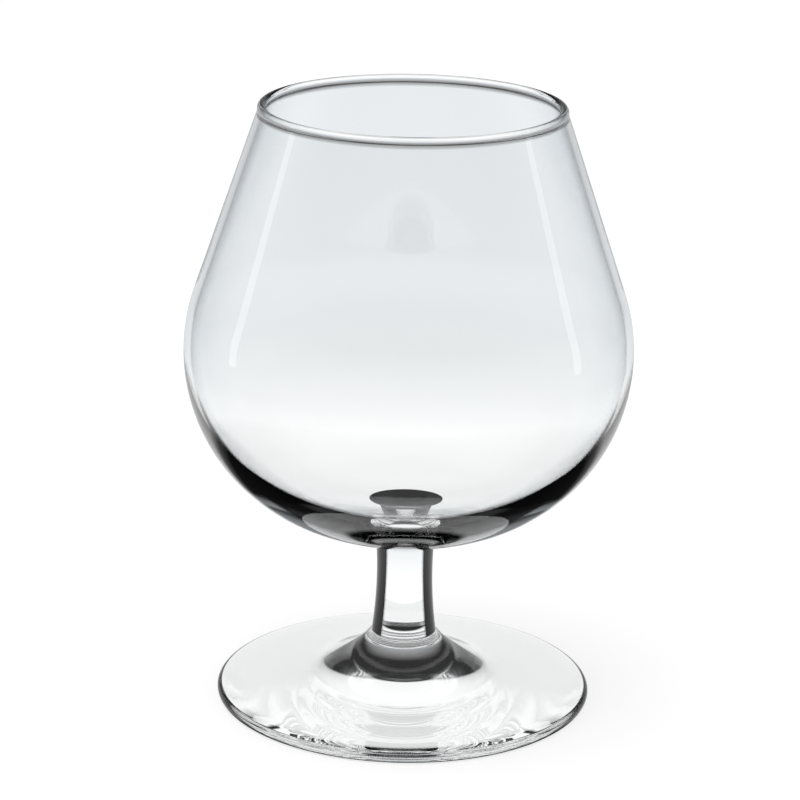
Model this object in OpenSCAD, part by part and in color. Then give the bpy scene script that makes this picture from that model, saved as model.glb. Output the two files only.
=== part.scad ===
// Brandy snifter: a blown bowl, a short drawn stem and a pressed foot, fused hot into one glass.
// Millimetres, +Z up. The origin is the centre of the flat ring that the foot rests on.
// Each piece is one outline turned about the Z axis. The pieces are stacked, seam on seam:
// the foot ends at its neck, the stem stands on the neck, and the bowl sits on the stem.

/* [Foot] */
// Diameter of the foot
foot_d = 73.2; // [60:0.2:90]
// Thickness of the foot at its rounded edge
foot_edge_t = 2.1; // [1.6:0.1:3.4]
// Height of the neck, where the stem is fused on
foot_h = 12.8; // [11:0.2:18]
// Diameter of the neck at that seam
neck_d = 12.6; // [11.6:0.2:16]
// Rise of the foot's upper side towards the neck, in degrees
foot_slope = 10; // [9.5:0.5:13]
// Lean of the neck from upright, just below the seam, in degrees
neck_lean = 38; // [10:1:45]
// Width of the flat ring that the foot rests on
rest_w = 3; // [1.5:0.1:5]
// Height that the underside rises inside the resting ring
underside_h = 0.95; // [0.4:0.05:1.4]
// Diameter of the pressed hollow in the underside, at its mouth
hollow_d = 32; // [24:0.2:40]
// Height of the flat top of that hollow above the table
hollow_h = 3; // [2.2:0.1:6]
// Diameter of that flat top, up to where its edge starts to round off
hollow_top_d = 15.8; // [10:0.2:20]
// Radius of that rounded edge
hollow_edge_r = 2; // [0.5:0.1:3]

/* [Stem] */
// Height of the stem between its two seams
stem_h = 20.7; // [14:0.1:28]
// Diameter of the stem at its waist
waist_d = 10.9; // [8:0.1:12]
// Height of the waist above the lower seam, as a share of the stem's height
waist_share = 0.59; // [0.4:0.01:0.8]
// Diameter of the seam between the stem and the bowl
weld_d = 15.6; // [13:0.2:17.6]
// Radius of the fillet that spreads out under the bowl
fillet_r = 3; // [2.4:0.1:5]

/* [Bowl] */
// Height of the bowl from its seam to the top of the rim
bowl_h = 84.3; // [74:0.1:110]
// Outside diameter of the rim
rim_d = 58.3; // [48:0.1:66]
// Outside diameter of the belly, the widest ring of the bowl
belly_d = 86; // [76:0.2:96]
// Radius in section of the belly's round side
belly_round_r = 35.8; // [32:0.1:37]
// Radius of the bowl's round bottom
bottom_round_r = 57.8; // [52:0.1:70]
// Thickness of the wall just below the rim
rim_wall_t = 1.2; // [0.8:0.05:1.6]
// Thickness of the wall at the belly
belly_wall_t = 1.3; // [0.9:0.05:2.2]
// Thickness of the glass in the middle of the bottom
floor_t = 3.5; // [2.5:0.1:8]
// Radius of the inside of the bottom
floor_round_r = 53; // [53:0.5:54]
// Diameter of the melted bead round the rim
bead_d = 1.7; // [1.6:0.05:2.4]

/* [Hidden] */
$fn = 180;

// Extra length of a cutting outline beyond what it cuts
overrun = 20;

// Heights of the two seams and of the rim
weld_z = foot_h + stem_h;
rim_z = weld_z + bowl_h;

// Foot: the edge's centre, and the radius of the fillet that joins the slope to the neck
edge_r = foot_edge_t / 2;
edge_x = foot_d / 2 - edge_r;
neck_r = neck_d / 2;
slope_start = [edge_x, edge_r] + edge_r * ray(90 - foot_slope);
flare_r = ((foot_h - slope_start.y) * cos(foot_slope) - (slope_start.x - neck_r) * sin(foot_slope))
    / (1 - sin(foot_slope + neck_lean));
flare_c = [neck_r, foot_h] + flare_r * ray(neck_lean);
flare_end = flare_c - flare_r * ray(90 - foot_slope);

// Foot: the underside inside the resting ring, and the hollow's rounded edge and straight side
rest_r = edge_x - rest_w;
hollow_mouth = [hollow_d / 2, underside_h];
hollow_c = [hollow_top_d / 2, hollow_h - hollow_edge_r];
hollow_side = tangent_angle(hollow_mouth, 0, hollow_c, hollow_edge_r, 1);

// Stem: one long arc from the neck past the waist, and the fillet at its upper end
neck_edge = [neck_r, foot_h];
weld_edge = [weld_d / 2, weld_z];
waist_h = waist_share * stem_h;
waist_in = neck_r - waist_d / 2;
side_r = (waist_h * waist_h + waist_in * waist_in) / (2 * waist_in);
side_c = [waist_d / 2 + side_r, foot_h + waist_h];
fillet_c = meeting(side_c, side_r - fillet_r, weld_edge, fillet_r);

// Bowl, outside: the bottom's centre, the belly's centre and the slant of the straight side
bead_r = bead_d / 2;
bead_c = [rim_d / 2 - bead_r, rim_z - bead_r];
bottom_c = [0, weld_z + sqrt(bottom_round_r * bottom_round_r - weld_edge.x * weld_edge.x)];
belly_x = belly_d / 2 - belly_round_r;
belly_c = [belly_x, bottom_c.y - sqrt(pow(bottom_round_r - belly_round_r, 2) - belly_x * belly_x)];
side_out = tangent_angle(bead_c, rim_wall_t / 2, belly_c, belly_round_r, -1);

// Bowl, inside: the same from the belly up, and rounder below it to leave the thick bottom
inner_r = belly_d / 2 - belly_wall_t;
shoulder_r = belly_round_r - belly_wall_t;
side_in = tangent_angle(bead_c, -rim_wall_t / 2, belly_c, shoulder_r, -1);
floor_z = bottom_c.y - bottom_round_r + floor_t;
floor_c = [0, floor_z + floor_round_r];
cheek_r = (floor_round_r * floor_round_r - inner_r * inner_r - pow(floor_c.y - belly_c.y, 2))
    / (2 * (floor_round_r - inner_r));
cheek_c = [inner_r - cheek_r, belly_c.y];

// A step of length 1 at an angle from the outline's X axis
function ray(angle) = [cos(angle), sin(angle)];

// Direction from one point to another
function bearing(a, b) = atan2(b.y - a.y, b.x - a.x);

// Angle at which one straight line touches two circles: left of the way from c2 to c1 for side 1, right for -1
function tangent_angle(c1, r1, c2, r2, side) = bearing(c2, c1) + side * acos((r2 - r1) / norm(c1 - c2));

// Point at a distance r1 from c1 and r2 from c2, on the left of the way from c1 to c2
function meeting(c1, r1, c2, r2) =
    let (d = norm(c2 - c1))
    let (along = (d * d + r1 * r1 - r2 * r2) / (2 * d))
    let (across = sqrt(r1 * r1 - along * along))
    let (way = bearing(c1, c2))
    c1 + along * ray(way) + across * ray(way + 90);

// Slice of a disc between two angles less than 180 degrees apart
module slice(c, r, a1, a2) {
    reach = 2 * r + overrun;
    intersection() {
        translate(c) circle(r);
        polygon([c, c + reach * ray(a1), c + reach * ray((a1 + a2) / 2), c + reach * ray(a2)]);
    }
}

// Outside of the bowl, filled: round bottom, round belly and slanting side
module bowl_outside() {
    shoulder = belly_c + belly_round_r * ray(side_out);
    lip = bead_c + rim_wall_t / 2 * ray(side_out);
    slice(bottom_c, bottom_round_r, -90, bearing(bottom_c, belly_c));
    slice(belly_c, belly_round_r, -90, side_out);
    polygon([[0, belly_c.y], belly_c, (belly_c + [belly_d / 2, belly_c.y]) / 2, shoulder, lip, bead_c,
        [0, bead_c.y]]);
}

// Inside of the bowl, running on past the rim
module bowl_inside() {
    shoulder = belly_c + shoulder_r * ray(side_in);
    lip = bead_c - rim_wall_t / 2 * ray(side_in);
    slice(floor_c, floor_round_r, -90, bearing(floor_c, cheek_c));
    slice(cheek_c, cheek_r, -90, side_in);
    slice(belly_c, shoulder_r, 0, side_in);
    polygon([[0, belly_c.y], belly_c, (belly_c + [inner_r, belly_c.y]) / 2, shoulder, lip,
        [lip.x, rim_z + overrun], [0, rim_z + overrun]]);
}

// Blown bowl with a thick bottom, a flat seam under it and a melted bead round its rim
module bowl() {
    color("lightcyan", 0.4)
    rotate_extrude() {
        difference() {
            bowl_outside();
            bowl_inside();
            translate([0, weld_z - overrun]) square([bottom_round_r, overrun]);
        }
        translate(bead_c) circle(bead_r);
    }
}

// Solid stem, drawn in at its waist and spreading into the seam under the bowl
module stem() {
    fillet_z = (side_c + side_r * ray(bearing(side_c, fillet_c))).y;
    color("lightcyan", 0.4)
    rotate_extrude() {
        difference() {
            translate([0, foot_h]) square([weld_edge.x, stem_h]);
            translate(side_c) circle(side_r);
        }
        difference() {
            translate([0, fillet_z]) square([fillet_c.x, weld_z - fillet_z]);
            translate(fillet_c) circle(fillet_r);
        }
    }
}

// Top and edge of the foot, filled down to the table
module foot_outside() {
    difference() {
        polygon([[0, 0], [edge_x, 0], [edge_x, edge_r], slope_start, flare_end, flare_c, neck_edge, [0, foot_h]]);
        translate(flare_c) circle(flare_r);
    }
    translate([edge_x, edge_r]) circle(edge_r);
}

// Hollow of the underside: a very flat cone inside the resting ring, then a steeper one with a flat top
module foot_hollow() {
    side = hollow_c + hollow_edge_r * ray(hollow_side);
    slice(hollow_c, hollow_edge_r, hollow_side, 90);
    polygon([[0, 0], [rest_r, 0], hollow_mouth, side, [hollow_c.x, hollow_h], [0, hollow_h]]);
}

// Pressed foot with a rounded edge, a flat ring under it and a hollow in the middle
module foot() {
    color("lightcyan", 0.4)
    rotate_extrude() {
        difference() {
            foot_outside();
            foot_hollow();
        }
    }
}

bowl();
stem();
foot();
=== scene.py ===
# %% [markdown]
# A brandy snifter, dressed as clear glass.
# The imported model gives three solids: the blown bowl, the drawn stem and the pressed foot.
# Clear glass has no colour of its own to paint. What the eye reads is how each surface bends the studio
# behind it, so this lesson puts its care into smooth turned walls and into the light around them.
# Some dark edges and lines of the glass, and a glowing patch of the table under the foot, are painted
# shade and painted light.

# %% Load the imported model
import bpy, bmesh, math
from mathutils import Matrix, Vector


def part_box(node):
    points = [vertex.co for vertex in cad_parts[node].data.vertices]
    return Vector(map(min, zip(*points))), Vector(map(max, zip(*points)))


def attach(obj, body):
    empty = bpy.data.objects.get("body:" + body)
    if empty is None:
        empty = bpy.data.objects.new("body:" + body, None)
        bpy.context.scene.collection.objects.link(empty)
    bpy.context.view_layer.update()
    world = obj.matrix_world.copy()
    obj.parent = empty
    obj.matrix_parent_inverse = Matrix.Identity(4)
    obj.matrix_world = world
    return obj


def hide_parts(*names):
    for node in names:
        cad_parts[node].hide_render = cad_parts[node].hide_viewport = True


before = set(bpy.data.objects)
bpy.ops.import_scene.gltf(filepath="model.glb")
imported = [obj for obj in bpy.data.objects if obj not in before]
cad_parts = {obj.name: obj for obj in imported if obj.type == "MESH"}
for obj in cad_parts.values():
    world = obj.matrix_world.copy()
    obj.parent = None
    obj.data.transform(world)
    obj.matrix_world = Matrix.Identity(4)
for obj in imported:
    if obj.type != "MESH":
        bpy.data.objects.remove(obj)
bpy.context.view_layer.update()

scene = bpy.context.scene

# %% [markdown]
# The camera looks down on the glass by about 17 degrees from just over half a metre away.
# Those numbers came from fitting ellipses of the rim, belly and foot to the picture.
# The frame is square and 800 pixels wide, so a focal length in pixels turns into one in millimetres
# by the width of the sensor.

# %% Camera
frame_px = 800
focal_px = 3058.57
sensor_mm = 36
camera_place = Vector((-0.0015, -0.56099, 0.23666))
look_down = 0.3053
camera_roll = 0.0176
nearest_seen, farthest_seen = 0.01, 50

camera_data = bpy.data.cameras.new("camera")
camera_data.sensor_width = sensor_mm
camera_data.lens = focal_px / frame_px * sensor_mm
camera_data.clip_start, camera_data.clip_end = nearest_seen, farthest_seen
camera = bpy.data.objects.new("camera", camera_data)
scene.collection.objects.link(camera)
camera.matrix_world = (
    Matrix.Translation(camera_place)
    @ Matrix.Rotation(math.pi / 2 - look_down, 4, "X")
    @ Matrix.Rotation(camera_roll, 4, "Z")
)
scene.camera = camera
scene.view_settings.view_transform = "Standard"
print("lens", round(camera_data.lens, 2), "mm")

# %% [markdown]
# Materials are node trees. One small class wraps an output of a node, so that a sum or a product written
# in Python adds its Math node, and one method makes every other kind of node.

# %% A node's output as a Python value
class Link:
    """One output of a node. Arithmetic with numbers or other links adds Math nodes."""

    def __init__(self, socket):
        self.socket = socket

    def node(self, kind, settings=None, sockets=None, out=0):
        tree = self.socket.id_data
        made = tree.nodes.new(kind)
        for name, value in (settings or {}).items():
            if name == "stops":
                stops = made.color_ramp.elements
                while len(stops) < len(value):
                    stops.new(1)
                for stop, (place, colour) in zip(stops, value):
                    stop.position, stop.color = place, colour
            else:
                setattr(made, name, value)
        for name, value in (sockets or {}).items():
            if isinstance(value, Link):
                tree.links.new(value.socket, made.inputs[name])
            else:
                made.inputs[name].default_value = value
        return Link(made.outputs[out])

    def math(self, operation, other, reflected=False):
        pair = {0: other, 1: self} if reflected else {0: self, 1: other}
        return self.node("ShaderNodeMath", {"operation": operation}, pair)

    def __add__(self, other):
        return self.math("ADD", other)

    __radd__ = __add__

    def __sub__(self, other):
        return self.math("SUBTRACT", other)

    def __rsub__(self, other):
        return self.math("SUBTRACT", other, True)

    def __mul__(self, other):
        return self.math("MULTIPLY", other)

    __rmul__ = __mul__

    def __truediv__(self, other):
        return self.math("DIVIDE", other)


def first_link(tree, kind, out):
    """The node that an expression starts from."""
    return Link(tree.nodes.new(kind).outputs[out])


# %% [markdown]
# The glass, its table and its studio are all drawn in greys, some of which lean to blue. A few helpers
# say in one line what the node editor takes several clicks to say: a ramp of greys, a mix of two
# colours, a mix of two finishes, and a surface that glows.

# %% Greys, ramps and mixes
red_loss = 0.3
blue_gain = 0.25


def grey(value, blue=0.0):
    """A grey, or one that leans to blue where blue is above 0."""
    return (value * (1 - red_loss * blue), value, value * (1 + blue_gain * blue), 1)


def ramp(value, stops):
    """A ramp of greys over a value. A stop is a place, a tone and, if it leans to blue, how much."""
    colours = [(place, grey(*tone)) for place, *tone in stops]
    return value.node("ShaderNodeValToRGB", {"stops": colours}, {0: value})


def mix(share, first, second, blend="MIX"):
    """The second colour takes this share, and the first takes the rest."""
    link = next(value for value in (share, first, second) if isinstance(value, Link))
    settings = {"data_type": "RGBA", "blend_type": blend}
    return link.node("ShaderNodeMix", settings, {0: share, 6: first, 7: second}, out=2)


def mix_finish(share, first, second):
    """The second finish takes this share of the surface, and the first takes the rest."""
    return first.node("ShaderNodeMixShader", sockets={0: share, 1: first, 2: second})


def glow(link, tone, strength=1.0):
    """A finish that shines with a tone of grey, in the tree that the link is in."""
    return link.node("ShaderNodeEmission", sockets={"Color": grey(tone), "Strength": strength})


print("darkest blue grey", [round(part, 3) for part in grey(0.05, 0.3)])

# %% [markdown]
# Glass on a white page is lit by what stands behind it. Photographers call it bright field: a lit white
# sweep fills the picture behind and under the glass, and the rest of the room is dark, so that the
# edges, where glass bends the view past the sweep, draw themselves as black lines.
# The sweep could be modelled as cards round the object. A world that knows only a direction's height
# does the same work, and it looks alike from every side. It has two lists of tones: one for what is seen
# through the glass, and one for what the glass mirrors, which is the bright sweep near the horizon.

# %% World: a white sweep low down, a dark room above
seen_tones = [
    (-86, 0.45),
    (-75, 0.65),
    (-66, 0.85),
    (-56, 0.86),
    (-49, 0.72),
    (-43, 0.84),
    (-37, 1.08),
    (-31, 1.14),
    (-25, 1.12),
    (-20, 1.00, 0.03),
    (-16, 0.90, 0.08),
    (-11, 0.84, 0.12),
    (-7, 0.62, 0.12),
    (-2, 0.50, 0.12),
    (8, 0.36, 0.12),
    (15, 0.2),
    (20, 0.03),
]
mirrored_tones = [
    (-35, 0.02),
    (-31, 0.20),
    (-27.5, 0.90),
    (-22, 0.90),
    (-16, 0.68),
    (-6, 0.60),
    (2, 0.55),
    (10, 0.30),
    (18, 0.10),
    (30, 0.04),
]


def by_height(height, tones):
    """A ramp over the height of a direction, in degrees above the horizon, all round the table."""
    stops = [((math.sin(math.radians(degrees)) + 1) / 2, *tone) for degrees, *tone in tones]
    return ramp(height * 0.5 + 0.5, stops)


world = bpy.data.worlds.new("studio")
scene.world = world
world.use_nodes = True
tree = world.node_tree
background = tree.nodes["Background"]
direction = first_link(tree, "ShaderNodeTexCoord", "Generated")
height = direction.node("ShaderNodeSeparateXYZ", sockets={0: direction}, out="Z")
through = first_link(tree, "ShaderNodeLightPath", "Is Transmission Ray")
seen = first_link(tree, "ShaderNodeLightPath", "Is Camera Ray")
scattered = first_link(tree, "ShaderNodeLightPath", "Is Diffuse Ray")
bent = mix(through, by_height(height, mirrored_tones), by_height(height, seen_tones))
studio = mix(seen.math("MAXIMUM", scattered), bent, grey(1))
tree.links.new(studio.socket, background.inputs["Color"])
print("world nodes", len(tree.nodes))

# %% [markdown]
# The floor is a plain white table. The camera sees its shade, softened so that the page stays white.
# Rays that come through the glass see the sweep through it, as they would through a lit table.
# Close under the foot the table glows instead, as a page of painted light. Its middle, under the neck,
# has
# painted shade: looked at flatly it glows, and looked at steeply it is black. That makes the black shapes
# round the neck, where the foot bends the view down. Only short rays meet the glowing page: those that
# leave the foot's underside.

# %% Floor
table_half = 1.5
table_drop = 0.00005
table_tone = 0.9
shade_share = 0.25
page_reach = 0.06
page_light = 1.12
short_ray = 0.033
flat_look_stops = [(0.33, 0.0), (0.40, 0.5), (0.47, 0.9), (0.54, 1.0)]
past_middle_stops = [(0.27, 0.0), (0.34, 1.0)]

bm = bmesh.new()
bmesh.ops.create_grid(bm, x_segments=1, y_segments=1, size=table_half)
bmesh.ops.translate(bm, verts=bm.verts, vec=(0, 0, -table_drop))
table_mesh = bpy.data.meshes.new("table")
bm.to_mesh(table_mesh)
bm.free()
table = bpy.data.objects.new("table", table_mesh)
scene.collection.objects.link(table)

table_finish = bpy.data.materials.new("table_white")
table_finish.use_nodes = True
tree = table_finish.node_tree
tree.nodes.remove(tree.nodes["Principled BSDF"])
through = first_link(tree, "ShaderNodeLightPath", "Is Transmission Ray")
mirrored = first_link(tree, "ShaderNodeLightPath", "Is Glossy Ray")
underneath = first_link(tree, "ShaderNodeNewGeometry", "Backfacing")
clear = through.node("ShaderNodeBsdfTransparent")
lit = through.node("ShaderNodeBsdfDiffuse", sockets={"Color": grey(table_tone)})
shaded = mix_finish(1 - shade_share, lit, glow(through, 1))
cover = mix_finish(through.math("MAXIMUM", mirrored).math("MAXIMUM", underneath), shaded, clear)

place = first_link(tree, "ShaderNodeTexCoord", "Object")
radius = place.node("ShaderNodeVectorMath", {"operation": "LENGTH"}, {0: place}, out="Value")
flatness = first_link(tree, "ShaderNodeLayerWeight", "Facing")
# painted light and shade: the page glows away from the middle and where it is looked at flatly, and is
# black where it is looked at steeply under the neck
painted_light_share = ramp(flatness, flat_look_stops) + ramp(radius / page_reach, past_middle_stops)
painted_glow_page = mix_finish(painted_light_share, glow(through, 0), glow(through, 1, page_light))
length = first_link(tree, "ShaderNodeLightPath", "Ray Length")
close_by = radius.math("LESS_THAN", page_reach) * length.math("LESS_THAN", short_ray)
cover = mix_finish(through * (1 - underneath) * close_by, cover, painted_glow_page)
tree.links.new(cover.socket, tree.nodes["Material Output"].inputs["Surface"])
table_mesh.materials.append(table_finish)
print("table", 2 * table_half, "m square")

# %% [markdown]
# One large softbox hangs over the table. It gives the table its light and the glass its soft shadow.
# Two tall strip lights stand at the sides. The slanting wall mirrors each as a faint upright streak.
# Only mirrored rays meet the strips, so that they leave the view through the glass alone.

# %% Softbox and strips
softbox_side = 0.6
softbox_place = (-0.15, -0.1, 0.9)
softbox_watts = 5
strip_size = (0.14, 0.7)
strip_watts = 0.4
strip_places = {"strip_left": (-1.48, 0.19, 0.22), "strip_right": (1.48, 0.05, 0.24)}
glass_middle = Vector((0, 0, 0.06))


def area_light(name, place, size, watts):
    """A rectangular light that faces the glass, and that only lights and mirrors show."""
    data = bpy.data.lights.new(name, "AREA")
    data.shape = "RECTANGLE"
    data.size, data.size_y = size
    data.energy = watts
    lamp = bpy.data.objects.new(name, data)
    lamp.location = place
    lamp.rotation_euler = (glass_middle - Vector(place)).to_track_quat("-Z", "Y").to_euler()
    lamp.visible_camera = False
    lamp.visible_transmission = False
    scene.collection.objects.link(lamp)
    return lamp


softbox = area_light("softbox", softbox_place, (softbox_side, softbox_side), softbox_watts)
softbox.visible_glossy = False
for name, place in strip_places.items():
    area_light(name, place, strip_size, strip_watts)

# %% [markdown]
# Each piece of the glass is round, so a section and one turn make it. The section could be typed as a
# list of points. Here a pen draws it as a glassmaker's drawing does: an arc is one vertex spun about its
# centre, a line is one vertex extruded, and the lathe is the same spin about the upright axis.

# %% Directions and meetings in a section
mm = 0.001


def ray(angle):
    return Vector((math.cos(angle), math.sin(angle)))


def bearing(a, b):
    return math.atan2(b.y - a.y, b.x - a.x)


def tangent_angle(c1, r1, c2, r2, side):
    """Angle at which one straight line touches two circles, left or right of the way from c2 to c1."""
    return bearing(c2, c1) + side * math.acos((r2 - r1) / (c1 - c2).length)


def meeting(c1, r1, c2, r2):
    """Point at r1 from c1 and r2 from c2, on the left of the way from c1 to c2."""
    d = (c2 - c1).length
    along = (d * d + r1 * r1 - r2 * r2) / (2 * d)
    across = math.sqrt(r1 * r1 - along * along)
    way = bearing(c1, c2)
    return c1 + along * ray(way) + across * ray(way + math.pi / 2)


# %% Pen
arc_step = 0.02


class Pen:
    """Draws a section in the XZ plane, in millimetres, from where its tip is."""

    def __init__(self, start):
        self.bm = bmesh.new()
        self.tip = self.bm.verts.new((start[0] * mm, 0, start[1] * mm))

    def line(self, end, pieces=1):
        step = (Vector((end[0] * mm, 0, end[1] * mm)) - self.tip.co) / pieces
        for _ in range(pieces):
            made = bmesh.ops.extrude_vert_indiv(self.bm, verts=[self.tip])
            self.tip = made["verts"][0]
            bmesh.ops.translate(self.bm, verts=[self.tip], vec=step)

    def arc(self, centre, turn, step=arc_step):
        """Turns the tip about a centre, with the turn in radians against the clock."""
        made = bmesh.ops.spin(
            self.bm,
            geom=[self.tip],
            cent=(centre[0] * mm, 0, centre[1] * mm),
            axis=(0, -1, 0),
            angle=turn,
            steps=max(2, math.ceil(abs(turn) / step)),
        )
        self.tip = [v for v in made["geom_last"] if isinstance(v, bmesh.types.BMVert)][0]

    def at(self):
        return Vector((self.tip.co.x, self.tip.co.z)) / mm


# %% Lathe
lathe_steps = 256
merge_reach = 1e-6
axis_reach = 1e-7


def lathe(pen, name, seams, hollow_about=None):
    """Turns a drawn section once round the axis into a closed piece.

    Faces on a seam get slot 1, and faces that look at the point in the hollow get slot 2.
    """
    bm = pen.bm
    for v in bm.verts:
        if v.co.x < axis_reach:
            v.co.x = 0
    bmesh.ops.spin(
        bm,
        geom=bm.verts[:] + bm.edges[:],
        cent=(0, 0, 0),
        axis=(0, 0, 1),
        angle=2 * math.pi,
        steps=lathe_steps,
        use_merge=True,
    )
    bmesh.ops.remove_doubles(bm, verts=bm.verts, dist=merge_reach)
    bmesh.ops.recalc_face_normals(bm, faces=bm.faces)
    for f in bm.faces:
        f.smooth = True
        f.material_index = int(any(all(abs(v.co.z - s) < merge_reach for v in f.verts) for s in seams))
        if hollow_about is not None and f.normal.dot(hollow_about - f.calc_center_median()) > 0:
            f.material_index = 2
    for e in bm.edges:
        if len({f.material_index for f in e.link_faces}) > 1:
            e.smooth = False
    open_edges = sum(not e.is_manifold for e in bm.edges)
    mesh = bpy.data.meshes.new(name)
    bm.to_mesh(mesh)
    bm.free()
    piece = bpy.data.objects.new(name, mesh)
    scene.collection.objects.link(piece)
    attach(piece, "root")
    print(name, "faces", len(mesh.polygons), "open edges", open_edges)
    return piece


# %% [markdown]
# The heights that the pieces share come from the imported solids, so each dressed piece starts and ends
# where its solid does.

# %% Shared heights
foot_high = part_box("foot")[1] / mm
bowl_low, bowl_high = (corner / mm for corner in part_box("bowl"))
neck_z, weld_z, rim_z = foot_high.z, bowl_low.z, bowl_high.z
foot_r = foot_high.x
belly_r = bowl_high.x
print("seams", round(neck_z, 3), round(weld_z, 3), "rim", round(rim_z, 3), "belly", round(belly_r, 3))

# %% [markdown]
# The bowl is blown: an outside of two arcs and a slanting side, an inside that follows it at little more
# than a millimetre and thickens into a lens at the bottom, and a bead where the rim was melted round.
# A Solidify modifier could give the wall, but it can't thicken a wall into a lens, so the pen draws both
# sides.

# %% Bowl: its sizes and centres
rim_d = 58.3
belly_round_r = 35.8
bottom_round_r = 57.8
rim_wall_t = 1.2
belly_wall_t = 1.3
floor_t = 3.5
floor_round_r = 53
bead_d = 1.7
weld_r = 7.8

bead_r = bead_d / 2
bead_c = Vector((rim_d / 2 - bead_r, rim_z - bead_r))
bottom_c = Vector((0, weld_z + math.sqrt(bottom_round_r**2 - weld_r**2)))
belly_x = belly_r - belly_round_r
belly_c = Vector((belly_x, bottom_c.y - math.sqrt((bottom_round_r - belly_round_r) ** 2 - belly_x**2)))
side_out = tangent_angle(bead_c, rim_wall_t / 2, belly_c, belly_round_r, -1)
inner_r = belly_r - belly_wall_t
shoulder_r = belly_round_r - belly_wall_t
side_in = tangent_angle(bead_c, -rim_wall_t / 2, belly_c, shoulder_r, -1)
floor_z = bottom_c.y - bottom_round_r + floor_t
floor_c = Vector((0, floor_z + floor_round_r))
floor_rise = floor_c.y - belly_c.y
cheek_r = (floor_round_r**2 - inner_r**2 - floor_rise**2) / (2 * (floor_round_r - inner_r))
cheek_c = Vector((inner_r - cheek_r, belly_c.y))
bead_meets = math.acos(rim_wall_t / 2 / bead_r)
print("bottom starts at", round(floor_z, 3), "cheek radius", round(cheek_r, 3))

# %% Bowl: drawn and turned
side_pieces = 40
seam_pieces = 4
bead_step = 0.15

pen = Pen((0, floor_z))
floor_end = bearing(floor_c, cheek_c)
pen.arc(floor_c, floor_end + math.pi / 2)
pen.arc(cheek_c, -floor_end)
pen.arc(belly_c, side_in)
pen.line(bead_c + bead_r * ray(side_in + math.pi + bead_meets), side_pieces)
pen.arc(bead_c, side_out - side_in - math.pi - 2 * bead_meets, bead_step)
pen.line(belly_c + belly_round_r * ray(side_out), side_pieces)
bottom_start = bearing(bottom_c, belly_c)
pen.arc(belly_c, bottom_start - side_out)
pen.arc(bottom_c, bearing(bottom_c, Vector((weld_r, weld_z))) - bottom_start)
print("weld radius", round(pen.at().x, 3), "height", round(pen.at().y, 3))
pen.line((0, weld_z), seam_pieces)
bowl = lathe(pen, "blown_bowl", [weld_z * mm], Vector((0, 0, belly_c.y * mm)))
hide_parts("bowl")

# %% [markdown]
# The stem was drawn from hot glass: one long arc makes its side, from the neck past the waist, and a
# fillet spreads it out under the bowl. A bevel on a plain rod could give the fillet, but not one that
# ends so flatly on the bowl.

# %% Stem
waist_d = 10.9
waist_share = 0.59
fillet_r = 3
neck_r = 6.3
fillet_step = 0.08
side_step = 0.004
full = 2 * math.pi

waist_h = waist_share * (weld_z - neck_z)
waist_in = neck_r - waist_d / 2
side_r = (waist_h**2 + waist_in**2) / (2 * waist_in)
side_c = Vector((waist_d / 2 + side_r, neck_z + waist_h))
weld_edge = Vector((weld_r, weld_z))
neck_edge = Vector((neck_r, neck_z))
fillet_c = meeting(side_c, side_r - fillet_r, weld_edge, fillet_r)

pen = Pen((0, weld_z))
pen.line(weld_edge, seam_pieces)
fillet_angle = bearing(side_c, fillet_c) % full
pen.arc(fillet_c, fillet_angle - bearing(fillet_c, weld_edge) % full, fillet_step)
pen.arc(side_c, bearing(side_c, neck_edge) % full - fillet_angle, side_step)
print("neck radius", round(pen.at().x, 3), "height", round(pen.at().y, 3))
pen.line((0, neck_z), seam_pieces)
stem = lathe(pen, "drawn_stem", [weld_z * mm, neck_z * mm])
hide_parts("stem")

# %% [markdown]
# The foot is pressed: a shallow slope that sweeps up into the neck, a round edge, a flat ring to rest on
# and a round hollow underneath. Its neck keeps a few fine ripples from the shears, which are real bends
# of the surface and so are modelled, not painted.

# %% Foot: its sizes and centres
foot_edge_t = 2.1
foot_slope = math.radians(10)
neck_lean = math.radians(38)
rest_w = 3
underside_h = 0.95
hollow_d = 32
hollow_h = 3
hollow_top_d = 15.8
hollow_edge_r = 2
quarter = math.pi / 2

edge_r = foot_edge_t / 2
edge_c = Vector((foot_r - edge_r, edge_r))
slope_start = edge_c + edge_r * ray(quarter - foot_slope)
flare_r = (
    (neck_z - slope_start.y) * math.cos(foot_slope) - (slope_start.x - neck_r) * math.sin(foot_slope)
) / (1 - math.sin(foot_slope + neck_lean))
flare_c = neck_edge + flare_r * ray(neck_lean)
flare_end = flare_c - flare_r * ray(quarter - foot_slope)
flare_start = bearing(flare_c, neck_edge) % full
flare_turn = bearing(flare_c, flare_end) % full - flare_start
hollow_mouth = Vector((hollow_d / 2, underside_h))
hollow_c = Vector((hollow_top_d / 2, hollow_h - hollow_edge_r))
hollow_side = tangent_angle(hollow_mouth, 0, hollow_c, hollow_edge_r, 1)
print("flare radius", round(flare_r, 3))

# %% Foot: drawn, rippled and turned
ripple_count = 5
ripple_pitch = 0.33
ripple_rise = 0.045
ripple_pieces = 10
slope_pieces = 30
ring_pieces = 3
under_pieces = 15
hollow_pieces = 8
edge_step = 0.1

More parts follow.
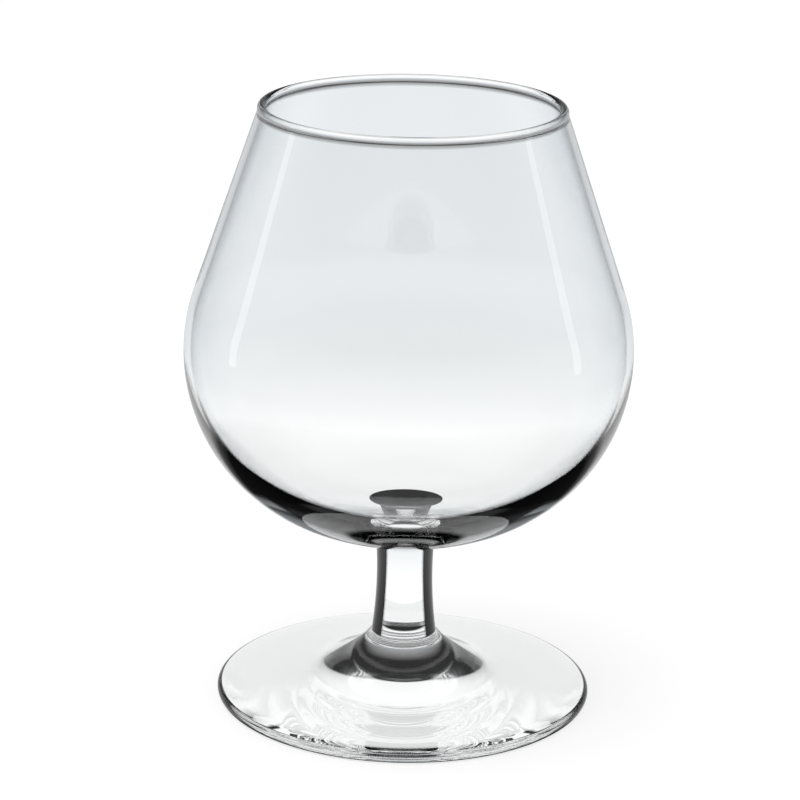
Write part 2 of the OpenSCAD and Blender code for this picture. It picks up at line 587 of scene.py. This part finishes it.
pen = Pen((0, neck_z))
pen.line(neck_edge, seam_pieces)
ripple_turn = ripple_count * ripple_pitch / flare_r
drawn = len(pen.bm.verts)
pen.arc(flare_c, ripple_turn, ripple_pitch / flare_r / ripple_pieces)
pen.bm.verts.ensure_lookup_table()
for v in pen.bm.verts[drawn:]:
    spot = Vector((v.co.x, v.co.z)) / mm
    along = (bearing(flare_c, spot) % full - flare_start) * flare_r
    rise = ripple_rise * (0.5 - 0.5 * math.cos(full * along / ripple_pitch))
    spot += rise * (flare_c - spot).normalized()
    v.co = (spot.x * mm, 0, spot.y * mm)
pen.arc(flare_c, flare_turn - ripple_turn)
pen.line(slope_start, slope_pieces)
pen.arc(edge_c, -quarter - (quarter - foot_slope), edge_step)
pen.line((edge_c.x - rest_w, 0), ring_pieces)
pen.line(hollow_mouth, under_pieces)
pen.line(hollow_c + hollow_edge_r * ray(hollow_side), under_pieces)
pen.arc(hollow_c, quarter - hollow_side, fillet_step)
pen.line((0, hollow_h), hollow_pieces)
print("hollow top", round(pen.at().x, 4), round(pen.at().y, 3))
foot = lathe(pen, "pressed_foot", [neck_z * mm])
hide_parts("foot")

# %% [markdown]
# The pieces are fused hot, so inside the glass there is no surface at a seam. The faces stay, because
# each piece is closed, but light passes them as if they weren't there. One seam carries painted shade:
# the disc under the bowl's lens, where the stem was sealed on, is painted dark at the slant at which one
# looks in over the rim, for the dark that the lens shows there. It is clear from straight above and from
# the side.

# %% Seams
# painted shade: the weld disc is painted near black when it is looked at from a slant
painted_shade_disc_stops = [(0.09, 0), (0.15, 1), (0.3, 1), (0.4, 0)]
painted_shade_glass = grey(0.01)


def seam_finish(name, painted_dark_stops=None):
    """Lets light through, except at the angles at which the stops paint it dark as painted shade."""
    finish = bpy.data.materials.new(name)
    finish.use_nodes = True
    tree = finish.node_tree
    tree.nodes.remove(tree.nodes["Principled BSDF"])
    flatness = first_link(tree, "ShaderNodeLayerWeight", "Facing")
    clear = flatness.node("ShaderNodeBsdfTransparent")
    if painted_dark_stops:
        dark = flatness.node("ShaderNodeBsdfTransparent", sockets={"Color": painted_shade_glass})
        clear = mix_finish(ramp(flatness, painted_dark_stops), clear, dark)
    tree.links.new(clear.socket, tree.nodes["Material Output"].inputs["Surface"])
    return finish


seam = seam_finish("fused_seam")
weld = seam_finish("fused_weld_painted_shade", painted_shade_disc_stops)
print("seam finishes", seam.name, weld.name)

# %% [markdown]
# Thick glass draws dark lines where it bends the view into the dark room: a crescent under the belly,
# which starts just inside a light outer line, and a line on the sides of the foot's edge. How thick the
# real wall is there can't be seen, so the lines are painted shade in the glass's colour, by how far its
# surface turns away.

# %% Painted shade: dark lines of the thick glass
# painted shade, which the glass's colour takes at these heights and slants
crescent_low, crescent_high = 43, 67
crescent_facing = 0.497
outer_line_facing = 0.73
line_blur = 0.02
foot_edge_from = 35.8
foot_edge_stops = [(0.42, 0), (0.50, 1), (0.84, 1), (0.92, 0)]


def climb(place, low, high, start=0.0, end=1.0):
    """Runs from start to end between two heights, in millimetres."""
    z = place.node("ShaderNodeSeparateXYZ", sockets={0: place}, out="Z")
    limits = {"From Min": low * mm, "From Max": high * mm, "To Min": start, "To Max": end}
    return z.node("ShaderNodeMapRange", sockets={"Value": z, **limits})


def passes(value, middle):
    """Turns softly from 0 to 1 where a value passes the middle."""
    limits = {"From Min": middle - line_blur, "From Max": middle + line_blur}
    smooth = {"interpolation_type": "SMOOTHSTEP"}
    return value.node("ShaderNodeMapRange", smooth, {"Value": value, **limits})


def round_bottom_shade(place, facing):
    """How dark the round bottom is: the crescent, just inside the light outer line."""
    start = climb(place, crescent_low, crescent_high, crescent_facing, outer_line_facing)
    return passes(facing, start) * (1 - passes(facing, outer_line_facing))


def foot_edge_shade(place, facing):
    """How dark the foot's round edge is: a line on both sides, where the edge turns away."""
    reach = place.node("ShaderNodeVectorMath", {"operation": "LENGTH"}, {0: place}, out="Value")
    outside = 1 - first_link(place.socket.id_data, "ShaderNodeNewGeometry", "Backfacing")
    return reach.math("GREATER_THAN", foot_edge_from * mm) * ramp(facing, foot_edge_stops) * outside


print("crescent between", crescent_low, "and", crescent_high, "mm")

# %% [markdown]
# Clear soda glass is one shader with full transmission. What differs is how each piece was shaped: the
# blown wall is faintly wavy, the drawn stem is pulled lengthways, the pressed foot is faintly rippled.
# Edge stops are painted shade: they darken a surface's colour as it turns away, for the dark that the
# wall shows at its silhouette, and fade keeps them to the upper part of the bowl. Shine is how much a
# surface mirrors when looked at squarely, 0.5 for plain glass. It is lower here, because the
# photographer's room was darker than any simple studio is.

# %% Clear glass
glass_ior = 1.52
faint_tint = (0.985, 1.0, 1.0, 1)
tint_scale = 30.0


def glass(
    name, shine, wave_size, wave_rise, pull=(1, 1, 1), painted_edge_shade_stops=None, fade=None, shade_of=None
):
    """Clear glass with a faint waviness in millimetres and, where given, edges and lines of painted
    shade.
    """
    finish = bpy.data.materials.new(name)
    finish.use_nodes = True
    tree = finish.node_tree
    shader = tree.nodes["Principled BSDF"]
    shader.inputs["Transmission Weight"].default_value = 1
    shader.inputs["IOR"].default_value = glass_ior
    shader.inputs["Roughness"].default_value = 0
    shader.inputs["Specular IOR Level"].default_value = shine

    place = first_link(tree, "ShaderNodeTexCoord", "Object")
    pulled = place.node("ShaderNodeMapping", sockets={0: place, "Scale": pull})
    waves = {"Vector": pulled, "Scale": 1 / (wave_size * mm), "Detail": 1.0}
    wave = pulled.node("ShaderNodeTexNoise", sockets=waves)
    bends = {"Strength": 1.0, "Distance": wave_rise * mm, "Height": wave}
    tree.links.new(wave.node("ShaderNodeBump", sockets=bends).socket, shader.inputs["Normal"])

    cloud = {"Vector": place, "Scale": tint_scale, "Detail": 2.0}
    tint_and_painted_shade = mix(place.node("ShaderNodeTexNoise", sockets=cloud), faint_tint, grey(1))
    facing = first_link(tree, "ShaderNodeLayerWeight", "Facing")
    # painted shade: the colour darkens as the surface turns away, and the random tint is kept under it
    if painted_edge_shade_stops:
        painted_edge_shade = ramp(facing, painted_edge_shade_stops)
        if fade:
            painted_edge_shade = mix(climb(place, *fade), grey(1), painted_edge_shade)
        tint_and_painted_shade = mix(1.0, tint_and_painted_shade, painted_edge_shade, "MULTIPLY")
    if shade_of:
        tint_and_painted_shade = mix(shade_of(place, facing), tint_and_painted_shade, painted_shade_glass)
    tree.links.new(tint_and_painted_shade.socket, shader.inputs["Base Color"])
    return finish


def edge_facing(share):
    """The Facing value where the surface of an upright round is at this share of its half width."""
    return 1 - math.sqrt(1 - share**2)


print("facing at the edge", edge_facing(1))

# %% [markdown]
# The bowl has two finishes, because what one sees of its inside is the far wall, looked at from the air
# in the bowl. That wall's colour takes painted shade towards its silhouette, which gives the thin dark
# lines at the sides. The stem's sides are painted black past two thirds of its half width, a painted
# shade for the dark that a solid glass rod's sides show on a white page.

# %% Finishes of bowl, stem and foot
wall_wave = {"wave_size": 18, "wave_rise": 0.01}
# painted shade: the outer wall greys faintly to blue at its silhouette, and the inner wall and the stem's
# sides go dark
wall_painted_shade_stops = [(0.3, 1), (1, 0.97, 0.1)]
inner_wall_painted_shade_stops = [
    (0.45, 1),
    (0.56, 0.90, 0.04),
    (0.70, 0.79, 0.10),
    (0.77, 0.60, 0.15),
    (0.86, 0.27, 0.20),
    (0.95, 0.05, 0.30),
]
inner_wall_fade = (46, 70)
rod_painted_shade_stops = [(edge_facing(0.66), 1), (edge_facing(0.72), 0)]

outer_wall = glass(
    "blown_glass", shine=0.35, painted_edge_shade_stops=wall_painted_shade_stops, shade_of=round_bottom_shade, **wall_wave
)
inner_wall = glass(
    "blown_glass_inside", shine=0.1, painted_edge_shade_stops=inner_wall_painted_shade_stops, fade=inner_wall_fade, **wall_wave
)
rod = glass(
    "drawn_glass", shine=0.1, wave_size=4, wave_rise=0.003, pull=(1, 1, 0.2), painted_edge_shade_stops=rod_painted_shade_stops
)
pressed = glass("pressed_glass", shine=0.15, wave_size=9, wave_rise=0.002, shade_of=foot_edge_shade)
for piece, finishes in (
    (bowl, (outer_wall, weld, inner_wall)),
    (stem, (rod, seam)),
    (foot, (pressed, seam)),
):
    for finish in finishes:
        piece.data.materials.append(finish)
print("materials", [m.name for m in bpy.data.materials])

# %% [markdown]
# A ray through the bowl and the foot meets a dozen surfaces, so Cycles is allowed more bounces than the
# 12 that it starts with. With fewer, the thick parts would go black.

# %% Bounces
bounces = 32
mirror_bounces = 16

scene.cycles.max_bounces = bounces
scene.cycles.transmission_bounces = bounces
scene.cycles.transparent_max_bounces = bounces
scene.cycles.glossy_bounces = mirror_bounces
print("bounces", bounces)
